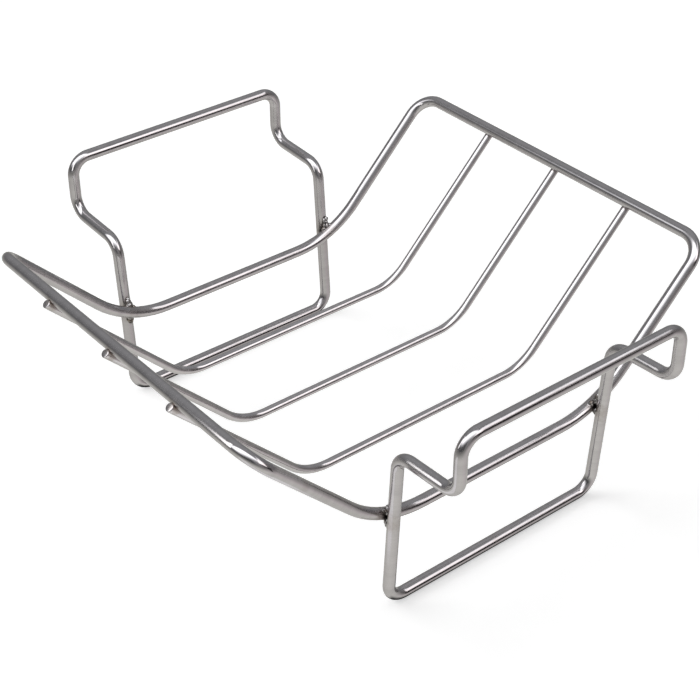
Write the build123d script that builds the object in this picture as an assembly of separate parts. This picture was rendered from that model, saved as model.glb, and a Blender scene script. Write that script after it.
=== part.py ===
from build123d import *
import math
import os

# Roasting rack: an open cradle of round wire, carried by two wire loops that are both legs and handles.
# Millimetres. +X runs along the side rails, +Y runs from one handle to the other, +Z is up.
# The origin is on the floor, under the middle of the cradle. All wire sizes are measured to the wire's axis.

# Wires
frame_wire = 6.35           # diameter of the thick wire, in the cradle's frame and the handle legs
thin_wire = 4.5             # diameter of the thin wires under the roast

# Cradle frame, one closed loop
rail_spacing = 222.0        # from one side rail to the other
rail_length = 144.0         # level part of a side rail, between the corners where its slopes start
rail_height = 52.0          # level part of a side rail, above the floor
slope_angle = 45.4          # rise of both ends, in degrees
slope_length = 102.4        # from the corner at the foot of a slope up to the end bar
rail_bend = 62.0            # bend where a rail turns up into its slope
end_bar_bend = 14.0         # bend where a slope turns into the end bar

# Thin wires, laid under the frame's end bars
thin_wire_names = ["front", "middle", "back"]
thin_wire_pitch = 54.5      # from one thin wire to the next
thin_wire_bend = 32.0       # bend at the foot of each slope
thin_wire_drop = 5.3        # from the level of the rails down to the level of the thin wires
weld_sink = 0.8             # depth that a thin wire is pressed into the end bar as it is welded
thin_wire_overhang = 3.0    # from the end bar's axis to the thin wire's cut end, along the slope
cut_end_round = 0.5         # rounding at the rim of a cut end

# Handle legs, each one closed loop
leg_spacing = 139.5         # from one leg of a loop to the other
leg_gap = 0.3               # space between a rail and the leg welded to it
leg_lean = 3.74             # outward lean of the legs, in degrees
shoulder_height = 98.0      # corner where a leg turns outwards, above the floor
shoulder_reach = 41.4       # from that corner out to the riser
shoulder_rise = 1.9         # climb of the shoulder on its way out
handle_rise = 31.5          # from the shoulder's outer end up to the handle bar
leg_bend = 10.0             # every bend in a handle leg

# Weld beads between a leg and a rail, each a row of lumps that leaves the rail along the leg
upper_bead_radii = [2.5, 1.8, 1.2]      # lumps of the bead above the rail, from the rail up
lower_bead_radii = [2.5, 2.2, 1.6]      # lumps of the bead below the rail, from the rail down
bead_start = 0.5            # from the rail's top or underside to the middle of the first lump
bead_lump_step = 0.8        # from one lump to the next, as a share of the first one's radius
bead_lump_stand = 0.35      # how far a lump's middle stands off the leg, as a share of its radius

# Values worked out from the sizes above
slope = math.radians(slope_angle)
lean = math.radians(leg_lean)
rail_y = rail_spacing / 2
half_rail = rail_length / 2
end_bar_x = half_rail + slope_length * math.cos(slope)
end_bar_z = rail_height + slope_length * math.sin(slope)
floor_bar_z = frame_wire / 2
leg_x = leg_spacing / 2


def rail_axis_height(x):
    """Height of a side rail's axis at a distance x from the middle of the cradle."""
    bend_start = half_rail - rail_bend * math.tan(slope / 2)
    bend_end = bend_start + rail_bend * math.sin(slope)
    if x <= bend_start:
        return rail_height
    if x >= bend_end:
        return rail_height + (x - half_rail) * math.tan(slope)
    return rail_height + rail_bend - math.sqrt(rail_bend**2 - (x - bend_start) ** 2)


def bent_wire(points, bends, diameter, closed):
    """Round wire along straight runs through the points, with one bend radius for each corner."""
    axis = FilletPolyline(*points, radius=bends, close=closed)
    section = Plane(origin=axis @ 0, z_dir=axis % 0) * Circle(diameter / 2)
    return sweep(section, path=axis)


# The crossing of a leg and a rail sets how far out the legs stand
crossing_z = rail_axis_height(leg_x)
crossing_y = rail_y + frame_wire + leg_gap


def leg_y(height):
    """Distance of a leg's axis from the middle of the rack, at a height above the floor."""
    return crossing_y + (height - crossing_z) * math.tan(lean)


def make_cradle_frame():
    """Closed loop: two rails, a slope at each end of each, and an end bar across each end."""
    points = []
    bends = []
    for end, side in [(1, 1), (1, -1), (-1, -1), (-1, 1)]:
        foot = (end * half_rail, side * rail_y, rail_height)
        top = (end * end_bar_x, side * rail_y, end_bar_z)
        corners = [(foot, rail_bend), (top, end_bar_bend)]
        if end != side:
            corners.reverse()
        points += [point for point, bend in corners]
        bends += [bend for point, bend in corners]
    return bent_wire(points, bends, frame_wire, closed=True)


def make_thin_wire(y, frame):
    """Wire along the cradle floor and up both slopes, pressed a little into the end bars."""
    run_z = rail_height - thin_wire_drop
    below_bar = (frame_wire + thin_wire) / 2 - weld_sink
    under_bar_x = end_bar_x + below_bar * math.sin(slope)
    under_bar_z = end_bar_z - below_bar * math.cos(slope)
    foot_x = under_bar_x - (under_bar_z - run_z) / math.tan(slope)
    tip_x = under_bar_x + thin_wire_overhang * math.cos(slope)
    tip_z = under_bar_z + thin_wire_overhang * math.sin(slope)
    points = [(-tip_x, y, tip_z), (-foot_x, y, run_z), (foot_x, y, run_z), (tip_x, y, tip_z)]
    wire = bent_wire(points, [thin_wire_bend] * 2, thin_wire, closed=False)
    cut_ends = wire.faces().filter_by(GeomType.PLANE)
    wire = fillet(cut_ends.edges(), cut_end_round)
    return wire - frame


def make_handle_leg(side):
    """Closed loop: floor bar, two legs, two shoulders, two risers and the handle bar."""
    riser_y = leg_y(shoulder_height) + shoulder_reach
    riser_z = shoulder_height + shoulder_rise
    profile = [
        (leg_y(floor_bar_z), floor_bar_z),
        (leg_y(shoulder_height), shoulder_height),
        (riser_y, riser_z),
        (riser_y, riser_z + handle_rise),
    ]
    up = [(leg_x, side * y, z) for y, z in profile]
    down = [(-leg_x, side * y, z) for y, z in reversed(profile)]
    points = up + down
    return bent_wire(points, [leg_bend] * len(points), frame_wire, closed=True)


def bead_lump(x, side, height, radius):
    """Ball of weld metal on the inner face of a leg, at a height above the floor."""
    y = leg_y(height) - frame_wire / 2 - radius * bead_lump_stand
    return Pos(x, side * y, height) * Sphere(radius)


def make_bead(x, side, radii, direction, frame, leg):
    """Row of lumps along a leg, up (1) or down (-1) from the rail, in the notch between the two wires."""
    away = frame_wire / 2 + bead_start
    lumps = []
    for radius in radii:
        lumps.append(bead_lump(x, side, crossing_z + direction * away, radius))
        away += radius * bead_lump_step
    bead = lumps[0].fuse(*lumps[1:])
    return bead.cut(frame, leg)


def make_rack():
    """Every piece of the rack by name."""
    frame = make_cradle_frame()
    pieces = {"cradle_frame": frame}
    middle = (len(thin_wire_names) - 1) / 2
    for number, name in enumerate(thin_wire_names):
        y = (number - middle) * thin_wire_pitch
        pieces[f"cradle_wire_{name}"] = make_thin_wire(y, frame)
    for side_name, side in [("front", -1), ("back", 1)]:
        leg = make_handle_leg(side)
        pieces[f"handle_leg_{side_name}"] = leg
        for end_name, x in [("left", -leg_x), ("right", leg_x)]:
            place = f"{side_name}_{end_name}"
            pieces[f"weld_above_rail_{place}"] = make_bead(x, side, upper_bead_radii, 1, frame, leg)
            pieces[f"weld_below_rail_{place}"] = make_bead(x, side, lower_bead_radii, -1, frame, leg)
    return pieces


os.makedirs("parts", exist_ok=True)
for node, piece in make_rack().items():
    export_step(piece, f"parts/{node}.step")
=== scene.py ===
"""A roasting rack of polished stainless steel wire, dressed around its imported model.

Metres. +X runs along the side rails, +Y from the front handle to the back one, +Z is up, and the
floor is at Z = 0.
"""

import logging
import math
from dataclasses import dataclass, field
from enum import Enum
from typing import Sequence

import bpy
from mathutils import Matrix, Vector


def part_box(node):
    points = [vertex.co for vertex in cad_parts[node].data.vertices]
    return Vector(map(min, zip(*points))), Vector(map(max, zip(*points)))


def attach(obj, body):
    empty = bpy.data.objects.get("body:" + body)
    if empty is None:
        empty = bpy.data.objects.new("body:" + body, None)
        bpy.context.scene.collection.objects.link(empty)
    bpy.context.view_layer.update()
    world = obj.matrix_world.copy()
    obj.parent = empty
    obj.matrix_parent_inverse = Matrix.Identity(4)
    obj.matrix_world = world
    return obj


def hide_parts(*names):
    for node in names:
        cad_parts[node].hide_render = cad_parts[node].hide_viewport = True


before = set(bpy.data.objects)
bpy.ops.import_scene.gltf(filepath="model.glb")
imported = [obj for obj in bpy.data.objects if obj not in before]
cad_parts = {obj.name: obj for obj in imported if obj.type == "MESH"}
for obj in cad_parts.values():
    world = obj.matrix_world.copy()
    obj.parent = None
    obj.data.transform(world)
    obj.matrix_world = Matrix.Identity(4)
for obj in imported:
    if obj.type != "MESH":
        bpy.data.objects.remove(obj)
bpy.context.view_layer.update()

LOG = logging.getLogger("roasting_rack")
MM = 0.001
BODY = "root"
SUPPORT_RING = 1.5 * MM
STRAIGHT = "straight_wire"
BUTT_WELD = "from_butt_weld"

# Noise cells in a metre of the straightened wire: X and Y, which drift slowly, and Z along it
FINE_PATCHES = (2300.0, 2300.0, 34.0)
BROAD_PATCHES = (900.0, 900.0, 20.0)
BLOTCHES = (240.0, 240.0, 150.0)
WAVES = (90.0, 90.0, 75.0)
FINE_SHARE = 0.6
HEAT_CELLS = 420.0
PIT_CELLS = 700.0
STAIN_CELLS = 330.0

Colour = tuple[float, float, float]
Socket = bpy.types.NodeSocket
Feed = Socket | float | Vector | Sequence[float]


class Side(Enum):
    """Long side of the rack, by the sign of its Y."""

    FRONT = -1
    BACK = 1


class End(Enum):
    """End of the cradle, by the sign of its X."""

    LEFT = -1
    RIGHT = 1


class Level(Enum):
    """Which way a bead of weld leaves the rail."""

    ABOVE = 1
    BELOW = -1


# Node graphs


@dataclass
class Graph:
    """Node tree that is wired up in reading order."""

    tree: bpy.types.NodeTree

    def node(self, kind: str, **settings: object) -> bpy.types.Node:
        """Adds a node.

        Args:
            kind: Blender's name of the node type.
            **settings: Properties to set on it.

        Returns:
            The node.
        """
        made = self.tree.nodes.new(kind)
        for name, value in settings.items():
            setattr(made, name, value)
        return made

    def feed(self, socket: Socket, value: Feed) -> None:
        """Links an input to another socket, or writes a plain value on it."""
        if isinstance(value, bpy.types.NodeSocket):
            self.tree.links.new(value, socket)
        else:
            socket.default_value = value

    def math(self, operation: str, *values: Feed) -> Socket:
        """Adds a Math node and returns its result."""
        made = self.node("ShaderNodeMath", operation=operation)
        for socket, value in zip(made.inputs, values):
            self.feed(socket, value)
        return made.outputs[0]

    def vector(self, operation: str, *values: Feed) -> Socket:
        """Adds a Vector Math node and returns its result, a number for a length or dot product."""
        made = self.node("ShaderNodeVectorMath", operation=operation)
        for socket, value in zip(made.inputs, values):
            self.feed(socket, value)
        gives_number = operation in {"LENGTH", "DISTANCE", "DOT_PRODUCT"}
        return made.outputs["Value" if gives_number else "Vector"]

    def ramp(
        self, value: Feed, low: Feed, high: Feed, from_value: Feed = 0.0, to_value: Feed = 1.0
    ) -> Socket:
        """Turns a value between two limits smoothly into a value between two others."""
        made = self.node("ShaderNodeMapRange", interpolation_type="SMOOTHSTEP")
        for socket, given in zip(made.inputs, (value, low, high, from_value, to_value)):
            self.feed(socket, given)
        return made.outputs[0]

    def noise(
        self, place: Feed, cells: Feed, detail: float = 2.0, roughness: float = 0.5
    ) -> Socket:
        """Adds a noise texture, with so many cells in a metre, and returns its value."""
        if isinstance(cells, tuple):
            place, cells = self.vector("MULTIPLY", place, cells), 1.0
        made = self.node("ShaderNodeTexNoise")
        self.feed(made.inputs["Vector"], place)
        self.feed(made.inputs["Scale"], cells)
        made.inputs["Detail"].default_value = detail
        made.inputs["Roughness"].default_value = roughness
        return made.outputs[0]

    def mix(self, factor: Feed, first: Feed, second: Feed) -> Socket:
        """Mixes two colours."""
        made = self.node("ShaderNodeMix", data_type="RGBA")
        for name, value in (("Factor_Float", factor), ("A_Color", first), ("B_Color", second)):
            socket = next(entry for entry in made.inputs if entry.identifier == name)
            self.feed(socket, (*value, 1.0) if isinstance(value, tuple) else value)
        return next(entry for entry in made.outputs if entry.identifier == "Result_Color")

    def call(self, group: bpy.types.NodeTree, **values: Feed) -> bpy.types.Node:
        """Adds a node group and feeds its inputs by name, with spaces written as underscores."""
        made = self.node("ShaderNodeGroup", node_tree=group)
        for name, value in values.items():
            self.feed(made.inputs[name.replace("_", " ")], value)
        return made


@dataclass
class GroupGraph(Graph):
    """Shared node group with named inputs and outputs."""

    entry: bpy.types.Node
    leave: bpy.types.Node

    @classmethod
    def new(cls, name: str, inputs: dict[str, str], outputs: dict[str, str]) -> "GroupGraph":
        """Makes an empty group.

        Args:
            name: Name of the group.
            inputs: Kind of each input socket, by name: Float, Vector or Color.
            outputs: Kind of each output socket, by name.

        Returns:
            The graph of the group.
        """
        tree = bpy.data.node_groups.new(name, "ShaderNodeTree")
        for direction, sockets in (("INPUT", inputs), ("OUTPUT", outputs)):
            for socket, kind in sockets.items():
                tree.interface.new_socket(socket, in_out=direction, socket_type=f"NodeSocket{kind}")
        entry = tree.nodes.new("NodeGroupInput")
        leave = tree.nodes.new("NodeGroupOutput")
        return cls(tree, entry, leave)

    def given(self, name: str) -> Socket:
        """One of the group's inputs."""
        return self.entry.outputs[name]

    def give(self, name: str, value: Feed) -> None:
        """Sets one of the group's outputs."""
        self.feed(self.leave.inputs[name], value)


def drawn_grain_group() -> bpy.types.NodeTree:
    """Long patches, soft blotches and slight waves that drawing and polishing leave on wire.

    Returns:
        A group that takes a place on the straightened wire, and gives the grain's patches,
        blotches and normal.
    """
    graph = GroupGraph.new(
        "drawn_grain",
        {"Place": "Vector", "Patch Depth": "Float", "Wave Depth": "Float"},
        {"Patches": "Float", "Blotches": "Float", "Normal": "Vector"},
    )
    place = graph.given("Place")
    fine = graph.noise(place, FINE_PATCHES, detail=1.0)
    broad = graph.noise(place, BROAD_PATCHES, detail=1.0)
    fine = graph.math("MULTIPLY", fine, FINE_SHARE)
    patches = graph.math("ADD", fine, graph.math("MULTIPLY", broad, 1.0 - FINE_SHARE))
    blotches = graph.noise(place, BLOTCHES, detail=4.0, roughness=0.6)
    waves = graph.noise(place, WAVES, detail=1.0)
    patched = graph.node("ShaderNodeBump")
    patched.inputs["Strength"].default_value = 1.0
    graph.feed(patched.inputs["Distance"], graph.given("Patch Depth"))
    graph.feed(patched.inputs["Height"], patches)
    waved = graph.node("ShaderNodeBump")
    waved.inputs["Strength"].default_value = 1.0
    graph.feed(waved.inputs["Distance"], graph.given("Wave Depth"))
    graph.feed(waved.inputs["Height"], waves)
    graph.feed(waved.inputs["Normal"], patched.outputs["Normal"])
    graph.give("Patches", patches)
    graph.give("Blotches", blotches)
    graph.give("Normal", waved.outputs["Normal"])
    return graph.tree


def heat_and_shade_falloff_group() -> bpy.types.NodeTree:
    """Ragged falloff around a weld that is repeated at mirrored places, for the heat tint and for
    the painted shade close by.

    Returns:
        A group that takes a place, the same place folded onto one quarter of the rack, and the
        weld and a reach, and gives how near the place is within that reach: for heat tint, and for
        painted shade.
    """
    graph = GroupGraph.new(
        "weld_heat",
        {"Place": "Vector", "Folded Place": "Vector", "Weld": "Vector", "Reach": "Float"},
        {"Heat": "Float"},
    )
    away = graph.vector("DISTANCE", graph.given("Folded Place"), graph.given("Weld"))
    ragged = graph.noise(graph.given("Place"), HEAT_CELLS, detail=3.0)
    reach = graph.math("MULTIPLY", graph.given("Reach"), graph.math("ADD", ragged, 0.5))
    core = graph.math("MULTIPLY", reach, 0.35)
    graph.give("Heat", graph.ramp(away, core, reach, 1.0, 0.0))
    return graph.tree


def panel_group() -> bpy.types.NodeTree:
    """Four-sided lit panel in the studio, seen from the middle of the rack.

    Returns:
        A group that takes a direction and the inward normal and softness of each edge, and gives
        the panel's mask.
    """
    sockets = {"Direction": "Vector"}
    for number in range(1, 5):
        sockets |= {f"Edge {number}": "Vector", f"Softness {number}": "Float"}
    graph = GroupGraph.new("studio_panel", sockets, {"Mask": "Float"})
    mask: Feed = 1.0
    for number in range(1, 5):
        edge = graph.given(f"Edge {number}")
        inward = graph.vector("DOT_PRODUCT", graph.given("Direction"), edge)
        softness = graph.given(f"Softness {number}")
        outside = graph.math("MULTIPLY", softness, -1.0)
        mask = graph.math("MULTIPLY", mask, graph.ramp(inward, outside, softness))
    graph.give("Mask", mask)
    return graph.tree


# Finishes


@dataclass(frozen=True)
class SteelFinish:
    """Look of polished drawn stainless steel wire."""

    name: str
    colour: Colour = (0.580, 0.558, 0.564)
    worn_colour: Colour = (0.510, 0.490, 0.497)
    heat_colour: Colour = (0.27, 0.215, 0.165)
    # Near-black painted shade in the joints beside the welds
    painted_shade_colour: Colour = (0.045, 0.038, 0.036)
    roughness: float = 0.13
    patch_depth: float = 0.0025 * MM
    wave_depth: float = 0.03 * MM
    patch_range: tuple[float, float] = (0.3, 0.7)
    patch_wear: float = 0.16
    patch_roughness: tuple[float, float] = (-0.03, 0.05)
    blotch_range: tuple[float, float] = (0.35, 0.75)
    heat_and_shade_roughness: float = 0.22
    butt_weld_band: tuple[float, float] = (0.4 * MM, 3.5 * MM)
    butt_weld_strength: float = 0.28

    def material(
        self, groups: dict[str, bpy.types.NodeTree], welds: Sequence["WeldMark"]
    ) -> bpy.types.Material:
        """Makes the material.

        Args:
            groups: The shared node groups by name.
            welds: Where heat tint and painted shade show on the wire.

        Returns:
            The material.
        """
        material = bpy.data.materials.new(self.name)
        material.use_nodes = True
        graph = Graph(material.node_tree)
        shader = graph.tree.nodes["Principled BSDF"]
        straight = graph.node("ShaderNodeAttribute", attribute_name=STRAIGHT)
        grain = graph.call(
            groups["grain"],
            Place=straight.outputs["Vector"],
            Patch_Depth=self.patch_depth,
            Wave_Depth=self.wave_depth,
        )
        patches, blotches = grain.outputs["Patches"], grain.outputs["Blotches"]
        place = graph.node("ShaderNodeTexCoord").outputs["Object"]
        heat: Feed = 0.0
        painted_shade: Feed = 0.0
        for weld in welds:
            around = {"Place": place, "Folded_Place": weld.fold(graph, place), "Weld": weld.place}
            mark = graph.call(groups["heat"], **around, Reach=weld.reach).outputs["Heat"]
            heat = graph.math("MAXIMUM", heat, graph.math("MULTIPLY", mark, weld.strength))
            # Painted shade: the wires close to each weld are darkened to near black, as shade in
            # the joint
            close = graph.call(groups["heat"], **around, Reach=weld.painted_shade).outputs["Heat"]
            painted_shade = graph.math("MAXIMUM", painted_shade, close)
        butt = graph.node("ShaderNodeAttribute", attribute_name=BUTT_WELD).outputs["Fac"]
        seam = graph.ramp(butt, *self.butt_weld_band, self.butt_weld_strength, 0.0)
        heat = graph.math("MAXIMUM", heat, graph.math("MULTIPLY", seam, blotches))
        worn = graph.ramp(blotches, *self.blotch_range)
        bare = graph.mix(worn, self.colour, self.worn_colour)
        patch_share = graph.ramp(patches, *self.patch_range, 0.0, self.patch_wear)
        patchy = graph.mix(patch_share, bare, self.worn_colour)
        tinted = graph.mix(heat, patchy, self.heat_colour)
        graph.feed(shader.inputs["Base Color"], graph.mix(painted_shade, tinted, self.painted_shade_colour))
        uneven = graph.ramp(patches, *self.patch_range, *self.patch_roughness)
        rough_near_welds = graph.math("MULTIPLY", graph.math("MAXIMUM", heat, painted_shade), self.heat_and_shade_roughness)
        rough = graph.math("ADD", graph.math("ADD", self.roughness, uneven), rough_near_welds)
        graph.feed(shader.inputs["Roughness"], rough)
        graph.feed(shader.inputs["Normal"], grain.outputs["Normal"])
        shader.inputs["Metallic"].default_value = 1.0
        return material


@dataclass(frozen=True)
class WeldMark:
    """Place where a weld has tinted the wires around it, and where painted shade darkens them close
    by in the joint.

    It stands for all its mirror images too, and with a pitch for a row of them along Y.
    """

    place: Vector
    reach: float
    strength: float
    # Reach of the painted shade in the joint beside the weld
    painted_shade: float
    pitch: float = 0.0

    def fold(self, graph: Graph, place: Socket) -> Socket:
        """Folds every mirrored place onto the first one, and returns the folded place."""
        mirrored = graph.vector("ABSOLUTE", place)
        if not self.pitch:
            return mirrored
        parts = graph.node("ShaderNodeSeparateXYZ")
        graph.feed(parts.inputs[0], mirrored)
        half = self.pitch / 2
        nearest = graph.math("ABSOLUTE", graph.math("SUBTRACT", parts.outputs[1], half))
        back = graph.math("ADD", nearest, half)
        whole = graph.node("ShaderNodeCombineXYZ")
        for socket, value in zip(whole.inputs, (parts.outputs[0], back, parts.outputs[2])):
            graph.feed(socket, value)
        return whole.outputs[0]


@dataclass(frozen=True)
class WeldMetalFinish:
    """Look of the filler metal of a weld, bright on its lumps, darker in the hollows between them
    and in scattered pits.
    """

    name: str
    bright_colour: Colour = (0.52, 0.505, 0.50)
    pit_and_hollow_colour: Colour = (0.055, 0.048, 0.045)
    straw_colour: Colour = (0.27, 0.225, 0.19)
    stain_range: tuple[float, float] = (0.45, 0.62)
    hollow_range: tuple[float, float] = (0.47, 0.53)
    pit_range: tuple[float, float] = (0.50, 0.62)
    roughness: tuple[float, float] = (0.14, 0.40)
    grain_depth: float = 0.10 * MM

    def material(self) -> bpy.types.Material:
        """Makes the material."""
        material = bpy.data.materials.new(self.name)
        material.use_nodes = True
        graph = Graph(material.node_tree)
        shader = graph.tree.nodes["Principled BSDF"]
        place = graph.node("ShaderNodeTexCoord").outputs["Object"]
        pits = graph.noise(place, PIT_CELLS, detail=3.0, roughness=0.6)
        stains = graph.ramp(graph.noise(place, STAIN_CELLS, detail=2.0), *self.stain_range)
        skin = graph.mix(stains, self.bright_colour, self.straw_colour)
        pointed = graph.node("ShaderNodeNewGeometry").outputs["Pointiness"]
        # Darker in the concave hollows between the lumps, found from Pointiness
        hollow = graph.ramp(pointed, *self.hollow_range, 1.0, 0.0)
        dark = graph.math("MAXIMUM", hollow, graph.ramp(pits, *self.pit_range))
        graph.feed(shader.inputs["Base Color"], graph.mix(dark, skin, self.pit_and_hollow_colour))
        graph.feed(shader.inputs["Roughness"], graph.ramp(pits, 0.3, 0.7, *self.roughness))
        bump = graph.node("ShaderNodeBump")
        graph.feed(bump.inputs["Height"], pits)
        bump.inputs["Distance"].default_value = self.grain_depth
        graph.feed(shader.inputs["Normal"], bump.outputs["Normal"])
        shader.inputs["Metallic"].default_value = 1.0
        return material


# Wires


@dataclass(frozen=True)
class Run:
    """Straight stretch of a wire's axis."""

    start: Vector
    end: Vector

    @property
    def length(self) -> float:
        """Length of the stretch."""
        return (self.end - self.start).length

    def draw(self) -> None:
        """Extrudes the selected ring to the end of the stretch.

        A close ring at each end holds the shading.
        """
        way = (self.end - self.start).normalized()
        close = way * min(SUPPORT_RING, self.length / 3)
        for move in (close, self.end - self.start - close * 2, close):
            bpy.ops.mesh.extrude_region()
            bpy.ops.transform.translate(value=move)

    def locate(self, point: Vector) -> tuple[float, float]:
        """Finds where a point lies beside the stretch.

        Args:
            point: A point on or near the wire.

        Returns:
            The distance along the stretch, and the distance from it.
        """
        way = (self.end - self.start).normalized()
        along = min(max((point - self.start).dot(way), 0.0), self.length)
        return along, (point - self.start - way * along).length


@dataclass(frozen=True)
class Bend:
    """Round stretch of a wire's axis."""

    start: Vector
    centre: Vector
    axis: Vector
    turn: float
    step: float = math.radians(5.0)

    @property
    def radius(self) -> float:
        """Radius of the bend, at the wire's axis."""
        return (self.start - self.centre).length

    @property
    def length(self) -> float:
        """Length of the stretch."""
        return self.radius * self.turn

    def draw(self) -> None:
        """Spins the selected ring to the end of the stretch."""
        steps = max(4, math.ceil(self.turn / self.step))
        bpy.ops.mesh.spin(steps=steps, angle=-self.turn, center=self.centre, axis=self.axis)

    def locate(self, point: Vector) -> tuple[float, float]:
        """Finds where a point lies beside the stretch, in the same way as on a straight one."""
        across = (self.start - self.centre).normalized()
        onward = self.axis.cross(across)
        arm = point - self.centre
        angle = math.atan2(arm.dot(onward), arm.dot(across))
        angle = min(max(angle, 0.0), self.turn)
        on_axis = self.centre + (across * math.cos(angle) + onward * math.sin(angle)) * self.radius
        return angle * self.radius, (point - on_axis).length


@dataclass(frozen=True)
class Corner:
    """Point where two straight runs of a wire would meet, and the bend that rounds it."""

    point: Vector
    bend: float

    def rounded(self, before: Vector, after: Vector) -> tuple[Vector, Bend, Vector]:
        """Works out the bend between the runs from one point and to another.

        Args:
            before: A point on the run that comes in.
            after: A point on the run that goes out.

        Returns:
            Where the bend starts, the bend, and where it ends.
        """
        inward = (self.point - before).normalized()
        outward = (after - self.point).normalized()
        turn = inward.angle(outward)
        reach = self.bend * math.tan(turn / 2)
        start = self.point - inward * reach
        end = self.point + outward * reach
        axis = inward.cross(outward).normalized()
        centre = start + axis.cross(inward) * self.bend
        return start, Bend(start, centre, axis, turn), end


@dataclass
class RoundWire:
    """Bent round wire, drawn ring by ring along its axis.

    A closed wire starts and ends at its butt weld, which lies on the run that comes in to its
    first corner.
    """

    name: str
    diameter: float
    corners: Sequence[Corner]
    closed: bool
    weld_share: float = 0.5
    rim_round: float = 0.0
    sides: int = 40
    stretches: list[Run | Bend] = field(default_factory=list)

    def lay_out(self) -> None:
        """Works out the straight and round stretches of the axis, in order."""
        points = [corner.point for corner in self.corners]
        if self.closed:
            start = points[-1].lerp(points[0], self.weld_share)
            ends = (start, start)
            turning = list(self.corners)
        else:
            ends = (points[0], points[-1])
            turning = list(self.corners[1:-1])
        here = ends[0]
        for number, corner in enumerate(turning):
            before = turning[number - 1].point if number else ends[0]
            after = turning[number + 1].point if number + 1 < len(turning) else ends[1]
            start, bend, end = corner.rounded(before, after)
            self.stretches += [Run(here, start), bend]
            here = end
        self.stretches.append(Run(here, ends[1]))

    @property
    def length(self) -> float:
        """Length of the wire along its axis."""
        return sum(stretch.length for stretch in self.stretches)

    def place_along(self, point: Vector) -> float:
        """Distance from the wire's start to the place beside a point, along the axis."""
        passed = 0.0
        nearest = (math.inf, 0.0)
        for stretch in self.stretches:
            along, away = stretch.locate(point)
            nearest = min(nearest, (away, passed + along))
            passed += stretch.length
        return nearest[1]

    def build(self) -> bpy.types.Object:
        """Draws the wire as one closed mesh.

        Returns:
            The new object, at the origin, with its place in its mesh.
        """
        self.lay_out()
        first = self.stretches[0]
        way = (first.end - first.start).normalized()
        bpy.ops.object.select_all(action="DESELECT")
        bpy.ops.mesh.primitive_circle_add(
            vertices=self.sides,
            radius=self.diameter / 2,
            location=first.start,
            rotation=way.to_track_quat("Z", "Y").to_euler(),
        )
        piece = bpy.context.active_object
        piece.name = piece.data.name = self.name
        bpy.ops.object.transform_apply(location=True, rotation=True, scale=True)
        bpy.ops.object.mode_set(mode="EDIT")
        bpy.ops.mesh.select_mode(type="EDGE")
        bpy.ops.mesh.select_all(action="SELECT")
        for stretch in self.stretches:
            stretch.draw()
        bpy.ops.mesh.select_all(action="SELECT")
        if self.closed:
            bpy.ops.mesh.remove_doubles(threshold=0.01 * MM)
        else:
            self.close_ends()
        bpy.ops.mesh.select_all(action="SELECT")
        bpy.ops.mesh.normals_make_consistent(inside=False)
        bpy.ops.object.mode_set(mode="OBJECT")
        bpy.ops.object.shade_smooth_by_angle(angle=math.radians(40.0))
        self.unroll(piece.data)
        return piece

    def close_ends(self) -> None:
        """Fills both cut ends and rounds their rims."""
        bpy.ops.mesh.select_all(action="DESELECT")
        bpy.ops.mesh.select_non_manifold()
        bpy.ops.mesh.edge_face_add()
        bpy.ops.mesh.bevel(offset=self.rim_round, segments=4, profile=0.5, affect="EDGES")

    def unroll(self, mesh: bpy.types.Mesh) -> None:
        """Stores where each part was before the wire was bent, for materials that follow it.

        Z runs along the wire, and X and Y drift slowly with the distance from the butt weld. The
        place is the same all the way round the wire.
        """
        places = [self.place_along(vertex.co) for vertex in mesh.vertices]
        whole = self.length
        gaps = [min(place, whole - place) if self.closed else whole for place in places]
        butt = mesh.attributes.new(BUTT_WELD, "FLOAT", "POINT")
        for number, gap in enumerate(gaps):
            butt.data[number].value = gap
        straight = mesh.attributes.new(STRAIGHT, "FLOAT_VECTOR", "CORNER")
        radius = self.diameter / 2
        for polygon in mesh.polygons:
            middle = self.place_along(polygon.center)
            for loop in polygon.loop_indices:
                vertex = mesh.loops[loop].vertex_index
                place = places[vertex]
                if self.closed:
                    place += whole * round((middle - place) / whole)
                drift = gaps[vertex] * radius
                straight.data[loop].vector = (drift, drift, place)


# The rack's own sizes


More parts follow.
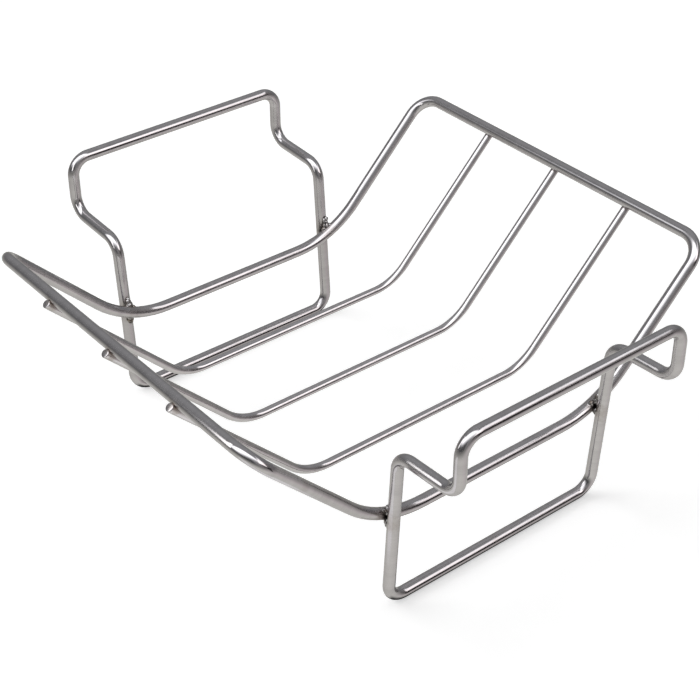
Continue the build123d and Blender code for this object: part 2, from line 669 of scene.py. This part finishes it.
@dataclass(frozen=True)
class RackSizes:
    """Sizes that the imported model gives, and the bends that its boxes don't show.

    All wires are measured to their axis.
    """

    rail_y: float
    rail_z: float
    end_bar_x: float
    end_bar_z: float
    leg_x: float
    leg_foot_y: float
    riser_y: float
    handle_z: float
    thin_z: float
    thin_tip: tuple[float, float]
    thin_y: dict[str, float]
    thick_wire: float = 6.35 * MM
    thin_wire: float = 4.5 * MM
    slope: float = math.radians(45.4)
    rail_bend: float = 62.0 * MM
    end_bar_bend: float = 14.0 * MM
    thin_wire_bend: float = 32.0 * MM
    rim_round: float = 0.5 * MM
    leg_bend: float = 10.0 * MM
    leg_lean: float = math.radians(3.74)
    shoulder_height: float = 98.0 * MM
    shoulder_rise: float = 1.9 * MM

    @classmethod
    def measured(cls) -> "RackSizes":
        """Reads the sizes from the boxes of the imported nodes."""
        thick, thin = cls.thick_wire / 2, cls.thin_wire / 2
        low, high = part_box("cradle_frame")
        leg_low, leg_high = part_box("handle_leg_back")
        thin_boxes = {name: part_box(f"cradle_wire_{name}") for name in ("front", "middle", "back")}
        thin_low, thin_high = thin_boxes["middle"]
        return cls(
            rail_y=high.y - thick,
            rail_z=low.z + thick,
            end_bar_x=high.x - thick,
            end_bar_z=high.z - thick,
            leg_x=leg_high.x - thick,
            leg_foot_y=leg_low.y + thick,
            riser_y=leg_high.y - thick,
            handle_z=leg_high.z - thick,
            thin_z=thin_low.z + thin,
            thin_tip=(
                thin_high.x - thin * math.sin(cls.slope),
                thin_high.z - thin * math.cos(cls.slope),
            ),
            thin_y={name: (box[0].y + box[1].y) / 2 for name, box in thin_boxes.items()},
        )

    @property
    def foot_x(self) -> float:
        """Where a rail's level part and its slope would meet without a bend."""
        return self.end_bar_x - (self.end_bar_z - self.rail_z) / math.tan(self.slope)

    def rail_height(self, x: float) -> float:
        """Height of a side rail's axis at a place along the rack."""
        x = abs(x)
        bend_start = self.foot_x - self.rail_bend * math.tan(self.slope / 2)
        bend_end = bend_start + self.rail_bend * math.sin(self.slope)
        if x <= bend_start:
            return self.rail_z
        if x >= bend_end:
            return self.rail_z + (x - self.foot_x) * math.tan(self.slope)
        return self.rail_z + self.rail_bend - math.sqrt(self.rail_bend**2 - (x - bend_start) ** 2)

    def leg_y(self, z: float) -> float:
        """Distance of a leg's axis from the rack's middle at a height above the floor."""
        return self.leg_foot_y + (z - self.thick_wire / 2) * math.tan(self.leg_lean)


@dataclass
class Cradle:
    """Frame and thin wires that the roast lies in."""

    sizes: RackSizes

    def frame_wire(self) -> RoundWire:
        """Closed loop of thick wire: rails, slopes and end bars.

        It is butt-welded on the front left slope.
        """
        sizes = self.sizes
        corners = []
        for end, side in ((-1, 1), (1, 1), (1, -1), (-1, -1)):
            y = side * sizes.rail_y
            foot = Corner(Vector((end * sizes.foot_x, y, sizes.rail_z)), sizes.rail_bend)
            top = Corner(Vector((end * sizes.end_bar_x, y, sizes.end_bar_z)), sizes.end_bar_bend)
            corners += [foot, top] if end == side else [top, foot]
        corners.insert(0, corners.pop())
        return RoundWire(
            "cradle_frame_wire", sizes.thick_wire, corners, closed=True, weld_share=0.65
        )

    def thin_wire(self, name: str) -> RoundWire:
        """Open thin wire along the cradle's floor and up both slopes."""
        sizes = self.sizes
        tip_x, tip_z = sizes.thin_tip
        foot_x = tip_x - (tip_z - sizes.thin_z) / math.tan(sizes.slope)
        y = sizes.thin_y[name]
        outline = [(-tip_x, tip_z), (-foot_x, sizes.thin_z), (foot_x, sizes.thin_z), (tip_x, tip_z)]
        return RoundWire(
            f"thin_wire_{name}",
            sizes.thin_wire,
            [Corner(Vector((x, y, z)), sizes.thin_wire_bend) for x, z in outline],
            closed=False,
            rim_round=sizes.rim_round,
            sides=32,
        )

    def build(self, steel: bpy.types.Material, thin_steel: bpy.types.Material) -> None:
        """Builds the frame and the thin wires.

        Args:
            steel: The frame's material.
            thin_steel: The thin wires' material.
        """
        dress(self.frame_wire().build(), "cradle_frame", steel)
        for name in self.sizes.thin_y:
            dress(self.thin_wire(name).build(), f"cradle_wire_{name}", thin_steel)


@dataclass
class HandleLeg:
    """Closed loop of thick wire that is a pair of legs and a handle."""

    sizes: RackSizes
    side: Side

    @property
    def node(self) -> str:
        """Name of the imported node."""
        return f"handle_leg_{self.side.name.lower()}"

    def loop(self) -> RoundWire:
        """Works out the loop. It is butt-welded in its floor bar."""
        sizes = self.sizes
        sign = self.side.value
        foot_z = sizes.thick_wire / 2
        profile = [
            (sizes.leg_foot_y, foot_z),
            (sizes.leg_y(sizes.shoulder_height), sizes.shoulder_height),
            (sizes.riser_y, sizes.shoulder_height + sizes.shoulder_rise),
            (sizes.riser_y, sizes.handle_z),
        ]
        up = [Vector((sizes.leg_x, sign * y, z)) for y, z in profile]
        down = [Vector((-point.x, point.y, point.z)) for point in reversed(up)]
        corners = [Corner(point, sizes.leg_bend) for point in up + down]
        return RoundWire(f"{self.node}_wire", sizes.thick_wire, corners, closed=True)

    def build(self, steel: bpy.types.Material) -> None:
        """Builds the loop.

        Args:
            steel: The wire's material.
        """
        dress(self.loop().build(), self.node, steel)


@dataclass(frozen=True)
class Lump:
    """Ball of weld metal, placed from where a rail and a leg cross, in millimetres.

    outward runs along the rack, off_leg from the leg's inner face towards the rack's middle, and
    away from the rail's axis along the leg.
    """

    outward: float
    off_leg: float
    away: float
    radius: float


@dataclass
class WeldBead:
    """Bead of filler metal in the notch between a rail and a leg."""

    sizes: RackSizes
    side: Side
    end: End
    level: Level
    lumps: Sequence[Lump]
    grain: float = 0.2 * MM
    settle_steps: int = 5
    ripple: float = 0.35 * MM
    ripple_size: float = 1.3 * MM

    @property
    def place_name(self) -> str:
        """Which bead this is."""
        return f"{self.level.name.lower()}_rail_{self.side.name.lower()}_{self.end.name.lower()}"

    def lump_place(self, lump: Lump) -> Vector:
        """Middle of a lump."""
        sizes = self.sizes
        x = sizes.leg_x + lump.outward * MM
        z = sizes.rail_height(x) + self.level.value * lump.away * MM
        y = sizes.leg_y(z) - sizes.thick_wire / 2 - lump.off_leg * MM
        return Vector((self.end.value * x, self.side.value * y, z))

    def build(self, metal: bpy.types.Material) -> None:
        """Melts the lumps into one piece and roughens its skin.

        Args:
            metal: The bead's material.
        """
        bpy.ops.object.select_all(action="DESELECT")
        balls = []
        for lump in self.lumps:
            bpy.ops.mesh.primitive_ico_sphere_add(
                subdivisions=4, radius=lump.radius * MM, location=self.lump_place(lump)
            )
            balls.append(bpy.context.active_object)
        for ball in balls:
            ball.select_set(True)
        bpy.context.view_layer.objects.active = balls[0]
        bpy.ops.object.join()
        piece = bpy.context.active_object
        piece.name = piece.data.name = f"weld_bead_{self.place_name}"
        bpy.ops.object.transform_apply(location=True, rotation=True, scale=True)
        remesh = piece.modifiers.new("melt", "REMESH")
        remesh.mode = "VOXEL"
        remesh.voxel_size = self.grain
        smooth = piece.modifiers.new("settle", "SMOOTH")
        smooth.factor = 0.5
        smooth.iterations = self.settle_steps
        texture = bpy.data.textures.new(f"ripple_{self.place_name}", "CLOUDS")
        texture.noise_scale = self.ripple_size
        texture.noise_depth = 1
        ripple = piece.modifiers.new("ripple", "DISPLACE")
        ripple.texture = texture
        ripple.texture_coords = "LOCAL"
        ripple.strength = self.ripple
        for modifier in (remesh.name, smooth.name, ripple.name):
            bpy.ops.object.modifier_apply(modifier=modifier)
        bpy.ops.object.mode_set(mode="EDIT")
        bpy.ops.mesh.select_all(action="SELECT")
        bpy.ops.mesh.normals_make_consistent(inside=False)
        bpy.ops.object.mode_set(mode="OBJECT")
        bpy.ops.object.shade_smooth()
        dress(piece, f"weld_{self.place_name}", metal)


UPPER_LUMPS = (Lump(0.0, 0.9, 3.4, 2.4), Lump(0.1, 0.6, 5.4, 1.8), Lump(-0.2, 0.4, 7.0, 1.2))
LOWER_LUMPS = {
    (Side.BACK, End.LEFT): (
        Lump(0.0, 0.9, 3.5, 2.4),
        Lump(0.1, 0.7, 5.5, 2.1),
        Lump(-0.1, 0.5, 7.2, 1.5),
    ),
    (Side.BACK, End.RIGHT): (Lump(-0.3, 0.6, 3.2, 2.0), Lump(-0.2, 0.3, 4.7, 1.3)),
    (Side.FRONT, End.LEFT): (
        Lump(0.0, 0.7, 3.4, 2.2),
        Lump(0.1, 0.5, 5.3, 1.7),
        Lump(0.0, 0.3, 7.0, 1.1),
    ),
    (Side.FRONT, End.RIGHT): (Lump(0.0, 0.6, 3.2, 2.0), Lump(0.1, 0.3, 4.8, 1.4)),
}
TOE_LUMPS = {
    (Side.BACK, End.LEFT): (Lump(-2.0, 2.4, 2.7, 1.3), Lump(1.7, 2.0, 2.9, 1.2)),
    (Side.BACK, End.RIGHT): (
        Lump(-2.1, 2.2, 2.9, 1.5),
        Lump(2.0, 2.4, 2.7, 1.5),
        Lump(0.9, 0.8, 7.2, 1.3),
    ),
    (Side.FRONT, End.LEFT): (Lump(-1.8, 2.3, 2.6, 1.3), Lump(1.9, 2.2, 2.8, 1.2)),
    (Side.FRONT, End.RIGHT): (
        Lump(-2.4, 2.2, 2.8, 1.6),
        Lump(-4.0, 2.9, 2.2, 1.2),
        Lump(2.0, 2.2, 2.7, 1.4),
    ),
}


def dress(piece: bpy.types.Object, node: str, material: bpy.types.Material) -> None:
    """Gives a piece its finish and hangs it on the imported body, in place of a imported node.

    Args:
        piece: The new piece.
        node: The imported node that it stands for.
        material: Its material.
    """
    piece.data.materials.clear()
    piece.data.materials.append(material)
    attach(piece, BODY)
    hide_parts(node)
    LOG.info("%s: %d faces", piece.name, len(piece.data.polygons))


# Studio


def direction(azimuth: float, elevation: float) -> Vector:
    """Unit vector for an azimuth from +X towards +Y and an elevation, both in degrees."""
    turn, rise = math.radians(azimuth), math.radians(elevation)
    level = math.cos(rise)
    return Vector((level * math.cos(turn), level * math.sin(turn), math.sin(rise)))


@dataclass(frozen=True)
class StudioPanel:
    """Lit panel far from the rack, between four directions."""

    corners: Sequence[tuple[float, float]]
    radiance: float
    softness: tuple[float, float, float, float]

    def edges(self) -> list[Vector]:
        """Inward normal of the plane through each edge and the rack's middle."""
        points = [direction(*corner) for corner in self.corners]
        middle = sum(points, Vector()).normalized()
        normals = []
        for start, end in zip(points, points[1:] + points[:1]):
            normal = start.cross(end).normalized()
            normals.append(normal if normal.dot(middle) > 0 else -normal)
        return normals

    def mask(self, graph: Graph, group: bpy.types.NodeTree, toward: Socket) -> Socket:
        """Adds the panel to a graph, and returns how much of it is seen in a direction."""
        settings: dict[str, Feed] = {"Direction": toward}
        for number, (edge, softness) in enumerate(zip(self.edges(), self.softness), start=1):
            settings |= {f"Edge_{number}": edge, f"Softness_{number}": softness}
        return graph.call(group, **settings).outputs["Mask"]


@dataclass(frozen=True)
class ReflectedCard:
    """Flat card with soft edges that only the steel's reflections show. Distances are in metres."""

    name: str
    middle: Vector
    half: tuple[float, float]
    fade: float
    radiance: float
    across: Vector = Vector((1.0, 0.0, 0.0))
    along: Vector = Vector((0.0, 1.0, 0.0))

    def build(self) -> None:
        """Adds the card."""
        bpy.ops.object.select_all(action="DESELECT")
        bpy.ops.mesh.primitive_plane_add(size=2.0, location=(0.0, 0.0, 0.0))
        card = bpy.context.active_object
        card.name = self.name
        up = self.across.cross(self.along)
        turned = Matrix((self.across, self.along, up)).transposed().to_4x4()
        size = Matrix.Diagonal((*self.half, 1.0, 1.0))
        card.matrix_world = Matrix.Translation(self.middle) @ turned @ size
        card.visible_camera = card.visible_diffuse = card.visible_shadow = False
        material = bpy.data.materials.new(self.name)
        material.use_nodes = True
        graph = Graph(material.node_tree)
        place = graph.vector("ABSOLUTE", graph.node("ShaderNodeTexCoord").outputs["Object"])
        parts = graph.node("ShaderNodeSeparateXYZ")
        graph.feed(parts.inputs[0], place)
        mask: Feed = 1.0
        for off_middle, half in zip(parts.outputs, self.half):
            inside = graph.ramp(off_middle, 1.0 - self.fade / half, 1.0, 1.0, 0.0)
            mask = graph.math("MULTIPLY", mask, inside)
        glow = graph.node("ShaderNodeEmission")
        glow.inputs["Strength"].default_value = self.radiance
        blend = graph.node("ShaderNodeMixShader")
        graph.feed(blend.inputs[0], mask)
        graph.feed(blend.inputs[1], graph.node("ShaderNodeBsdfTransparent").outputs[0])
        graph.feed(blend.inputs[2], glow.outputs[0])
        graph.feed(graph.tree.nodes["Material Output"].inputs["Surface"], blend.outputs[0])
        card.data.materials.append(material)


@dataclass(frozen=True)
class FloorLamp:
    """Broad lamp that lights the floor and lays soft shadows on it. Angles are in degrees."""

    name: str
    azimuth: float
    elevation: float
    spread: float
    share: float

    def build(self, floor_colour: float) -> None:
        """Adds the lamp.

        Args:
            floor_colour: How much light the floor gives back.
        """
        data = bpy.data.lights.new(self.name, "SUN")
        data.angle = math.radians(self.spread)
        toward = direction(self.azimuth, self.elevation)
        data.energy = self.share * math.pi / (floor_colour * toward.z)
        lamp = bpy.data.objects.new(self.name, data)
        bpy.context.scene.collection.objects.link(lamp)
        lamp.rotation_euler = toward.to_track_quat("Z", "Y").to_euler()
        lamp.visible_glossy = False


@dataclass(frozen=True)
class Studio:
    """Plain pale floor, soft lamps for its shadows, and the lit room that the steel reflects.

    The dark card's radiance is the share of the room's light that it lets through.
    """

    lamps: Sequence[StudioPanel]
    dark_card: StudioPanel
    cards: Sequence[ReflectedCard]
    floor_lamps: Sequence[FloorLamp]
    room: float = 0.225
    room_drift: Vector = Vector((0.30, 0.35, 0.80))
    near_floor: float = 0.69
    far_floor: float = 0.265
    floor_drift: Vector = Vector((-0.14, -0.16, 0.0))
    floor_fade: tuple[float, float] = (0.0, 0.69)
    horizon_blur: float = 0.06
    room_tint: Colour = (0.985, 1.0, 1.03)
    floor_tint: Colour = (1.0, 1.0, 0.95)
    warm_side: Vector = Vector((0.50, -0.866, 0.0))
    warm_fade: tuple[float, float] = (0.55, 0.95)
    warm_tint: Colour = (1.06, 1.0, 1.0)
    camera_lift: float = 0.605
    floor_colour: float = 0.8
    floor_half: float = 3.0

    def build(self) -> None:
        """Builds the floor, the reflected cards, the lamps and the world."""
        self.add_floor()
        for card in self.cards:
            card.build()
        for lamp in self.floor_lamps:
            lamp.build(self.floor_colour)
        self.add_world()
        bpy.context.scene.view_settings.view_transform = "Standard"

    def add_floor(self) -> None:
        """Adds the floor, which the camera sees as white except in the shadow of the wires."""
        bpy.ops.object.select_all(action="DESELECT")
        bpy.ops.mesh.primitive_plane_add(size=self.floor_half * 2, location=(0.0, 0.0, 0.0))
        floor = bpy.context.active_object
        floor.name = "studio_floor"
        floor.visible_glossy = False
        material = bpy.data.materials.new("pale_floor")
        material.use_nodes = True
        graph = Graph(material.node_tree)
        shader = graph.tree.nodes["Principled BSDF"]
        shader.inputs["Base Color"].default_value = (*[self.floor_colour] * 3, 1.0)
        shader.inputs["Roughness"].default_value = 1.0
        shader.inputs["Specular IOR Level"].default_value = 0.0
        shader.inputs["Emission Color"].default_value = (1.0, 1.0, 1.0, 1.0)
        path = graph.node("ShaderNodeLightPath")
        lift = graph.math("MULTIPLY", path.outputs["Is Camera Ray"], self.camera_lift)
        graph.feed(shader.inputs["Emission Strength"], lift)
        floor.data.materials.append(material)

    def add_world(self) -> None:
        """Adds the world: white to the camera, and the lit room and its pale floor to the steel."""
        world = bpy.data.worlds.new("studio")
        bpy.context.scene.world = world
        world.use_nodes = True
        world.cycles.sampling_method = "NONE"
        graph = Graph(world.node_tree)
        toward = graph.node("ShaderNodeTexCoord").outputs["Generated"]
        parts = graph.node("ShaderNodeSeparateXYZ")
        graph.feed(parts.inputs[0], toward)
        height = parts.outputs[2]
        group = panel_group()
        # The room is as bright as its own value halfway up, and the drift tilts it from there
        drift = graph.math("EXPONENT", graph.vector("DOT_PRODUCT", toward, self.room_drift))
        even = self.room * math.exp(-0.5 * self.room_drift.z)
        above: Feed = graph.math("MULTIPLY", drift, even)
        for lamp in self.lamps:
            lit = graph.math("MULTIPLY", lamp.mask(graph, group, toward), lamp.radiance)
            above = graph.math("ADD", above, lit)
        drift = graph.math("EXPONENT", graph.vector("DOT_PRODUCT", toward, self.floor_drift))
        near = graph.math("MULTIPLY", drift, self.near_floor)
        start, end = self.floor_fade
        below = graph.ramp(height, -end, -start, near, self.far_floor)
        horizon = graph.ramp(height, -self.horizon_blur, self.horizon_blur)
        above = graph.math("MULTIPLY", above, horizon)
        below = graph.math("MULTIPLY", below, graph.math("SUBTRACT", 1.0, horizon))
        room = graph.math("ADD", above, below)
        card = self.dark_card.mask(graph, group, toward)
        card = graph.math("MULTIPLY", card, 1.0 - self.dark_card.radiance)
        room = graph.math("MULTIPLY", room, graph.math("SUBTRACT", 1.0, card))
        path = graph.node("ShaderNodeLightPath").outputs
        mirrored = graph.math("MAXIMUM", path["Is Glossy Ray"], path["Is Transmission Ray"])
        seen = graph.math("MULTIPLY", room, mirrored)
        background = graph.tree.nodes["Background"]
        strength = graph.math("ADD", path["Is Camera Ray"], seen)
        graph.feed(background.inputs["Strength"], strength)
        tint = graph.mix(horizon, self.floor_tint, self.room_tint)
        turned = graph.vector("DOT_PRODUCT", toward, self.warm_side)
        tint = graph.mix(graph.ramp(turned, *self.warm_fade), tint, self.warm_tint)
        tint = graph.mix(path["Is Camera Ray"], tint, (1.0, 1.0, 1.0))
        graph.feed(background.inputs["Color"], tint)


@dataclass(frozen=True)
class PhotoCamera:
    """Camera that stands where the picture was taken from. Angles are in degrees."""

    place: Vector
    azimuth: float
    elevation: float
    roll: float
    focal_pixels: float
    image_pixels: float = 700.0
    sensor: float = 36.0
    clip: tuple[float, float] = (0.01, 50.0)

    def build(self) -> None:
        """Adds the camera and makes it the scene's own."""
        angles = (self.azimuth, self.elevation, self.roll)
        turn, rise, roll = (math.radians(angle) for angle in angles)
        level = math.cos(rise)
        back = Vector((math.sin(turn) * level, -math.cos(turn) * level, math.sin(rise)))
        right = Vector((math.cos(turn), math.sin(turn), 0.0))
        up = back.cross(right)
        rolled_right = right * math.cos(roll) + up * math.sin(roll)
        rolled_up = up * math.cos(roll) - right * math.sin(roll)
        data = bpy.data.cameras.new("photo_camera")
        data.sensor_width = self.sensor
        data.lens = self.focal_pixels / self.image_pixels * self.sensor
        data.clip_start, data.clip_end = self.clip
        camera = bpy.data.objects.new("photo_camera", data)
        bpy.context.scene.collection.objects.link(camera)
        turned = Matrix((rolled_right, rolled_up, back)).transposed().to_4x4()
        camera.matrix_world = Matrix.Translation(self.place) @ turned
        bpy.context.scene.camera = camera


# What the photo shows

STEEL = SteelFinish("polished_wire")
THIN_STEEL = SteelFinish(
    "polished_thin_wire", colour=(0.655, 0.630, 0.637), worn_colour=(0.585, 0.562, 0.570)
)
WELD_METAL = WeldMetalFinish("weld_metal")
CAMERA = PhotoCamera(
    place=Vector((-454.07, -569.15, 565.49)) * MM,
    azimuth=-38.455,
    elevation=34.749,
    roll=-0.294,
    focal_pixels=1649.64,
)


def weld_marks(sizes: RackSizes) -> tuple[WeldMark, ...]:
    """Finds where welds tint the wires and painted shade darkens them: at the legs' crossings, and
    under the end bars.
    """
    crossing_z = sizes.rail_height(sizes.leg_x)
    crossing_y = (sizes.rail_y + sizes.leg_y(crossing_z)) / 2
    crossing = Vector((sizes.leg_x, crossing_y, crossing_z))
    pitch = max(sizes.thin_y.values())
    under_bar = Vector((sizes.end_bar_x + 2.0 * MM, pitch, sizes.end_bar_z - 2.4 * MM))
    return (
        WeldMark(crossing, reach=10.0 * MM, strength=0.36, painted_shade=5.2 * MM),
        WeldMark(under_bar, reach=5.0 * MM, strength=0.6, painted_shade=2.2 * MM, pitch=pitch),
    )


def reflected_cards(sizes: RackSizes) -> list[ReflectedCard]:
    """The cards near the rack: a lit patch of floor, a lamp, and under each floor bar a painted
    shadow card.
    """
    cards = [
        ReflectedCard(
            "floor_glow",
            middle=Vector((-245.0, -100.0, 0.02)) * MM,
            half=(150.0 * MM, 60.0 * MM),
            fade=25.0 * MM,
            radiance=0.95,
        ),
        ReflectedCard(
            "strip_lamp",
            middle=Vector((-345.0, 128.0, 367.0)) * MM,
            half=(46.0 * MM, 235.0 * MM),
            fade=14.0 * MM,
            radiance=2.6,
            across=Vector((0.0, 0.9285, -0.3714)),
            along=Vector((0.0, 0.3714, 0.9285)),
        ),
    ]
    for side in Side:
        # A near-black card under each floor bar, seen only in reflections: a painted contact shadow
        under_bar = ReflectedCard(
            f"contact_{side.name.lower()}",
            middle=Vector((0.0, side.value * sizes.leg_foot_y, 0.02 * MM)),
            half=(sizes.leg_x + 3.0 * MM, 8.0 * MM),
            fade=5.0 * MM,
            radiance=0.04,
        )
        cards.append(under_bar)
    return cards


def photo_studio(sizes: RackSizes) -> Studio:
    """The studio, with its panels where the photo's highlights ask for them."""
    main_lamp = StudioPanel(
        ((138.6, 25.0), (9.9, 89.3), (-61.0, 30.0), (176.1, 25.3)),
        radiance=2.05,
        softness=(0.10, 0.13, 0.36, 0.22),
    )
    front_lamp = StudioPanel(
        ((-57.0, 10.2), (-67.7, 3.0), (-13.3, 48.0), (-90.5, 27.5)),
        radiance=1.40,
        softness=(0.025, 0.025, 0.04, 0.025),
    )
    pale_wall = StudioPanel(
        ((-87.0, -3.0), (-87.0, 35.0), (-122.0, 35.0), (-122.0, -3.0)),
        radiance=0.17,
        softness=(0.06, 0.15, 0.15, 0.06),
    )
    dark_card = StudioPanel(
        ((-72.0, 9.0), (-45.5, 9.5), (-59.5, -21.0), (-64.5, -23.0)),
        radiance=0.13,
        softness=(0.04, 0.04, 0.05, 0.04),
    )
    floor_lamps = (
        FloorLamp("overhead_lamp", azimuth=95.0, elevation=75.0, spread=85.0, share=0.27),
        FloorLamp("back_lamp", azimuth=122.0, elevation=28.0, spread=46.0, share=0.19),
    )
    lamps = (main_lamp, front_lamp, pale_wall)
    return Studio(lamps, dark_card, reflected_cards(sizes), floor_lamps)


def main() -> None:
    """Builds the rack, its studio and its camera."""
    logging.basicConfig(level=logging.INFO, format="%(name)s: %(message)s")
    sizes = RackSizes.measured()
    marks = weld_marks(sizes)
    groups = {"grain": drawn_grain_group(), "heat": heat_and_shade_falloff_group()}
    steel = STEEL.material(groups, marks)
    thin_steel = THIN_STEEL.material(groups, marks)
    weld_metal = WELD_METAL.material()
    Cradle(sizes).build(steel, thin_steel)
    for side in Side:
        HandleLeg(sizes, side).build(steel)
        for end in End:
            upper = UPPER_LUMPS + TOE_LUMPS[side, end]
            WeldBead(sizes, side, end, Level.ABOVE, upper).build(weld_metal)
            WeldBead(sizes, side, end, Level.BELOW, LOWER_LUMPS[side, end]).build(weld_metal)
    photo_studio(sizes).build()
    CAMERA.build()


if __name__ == "__main__":
    main()
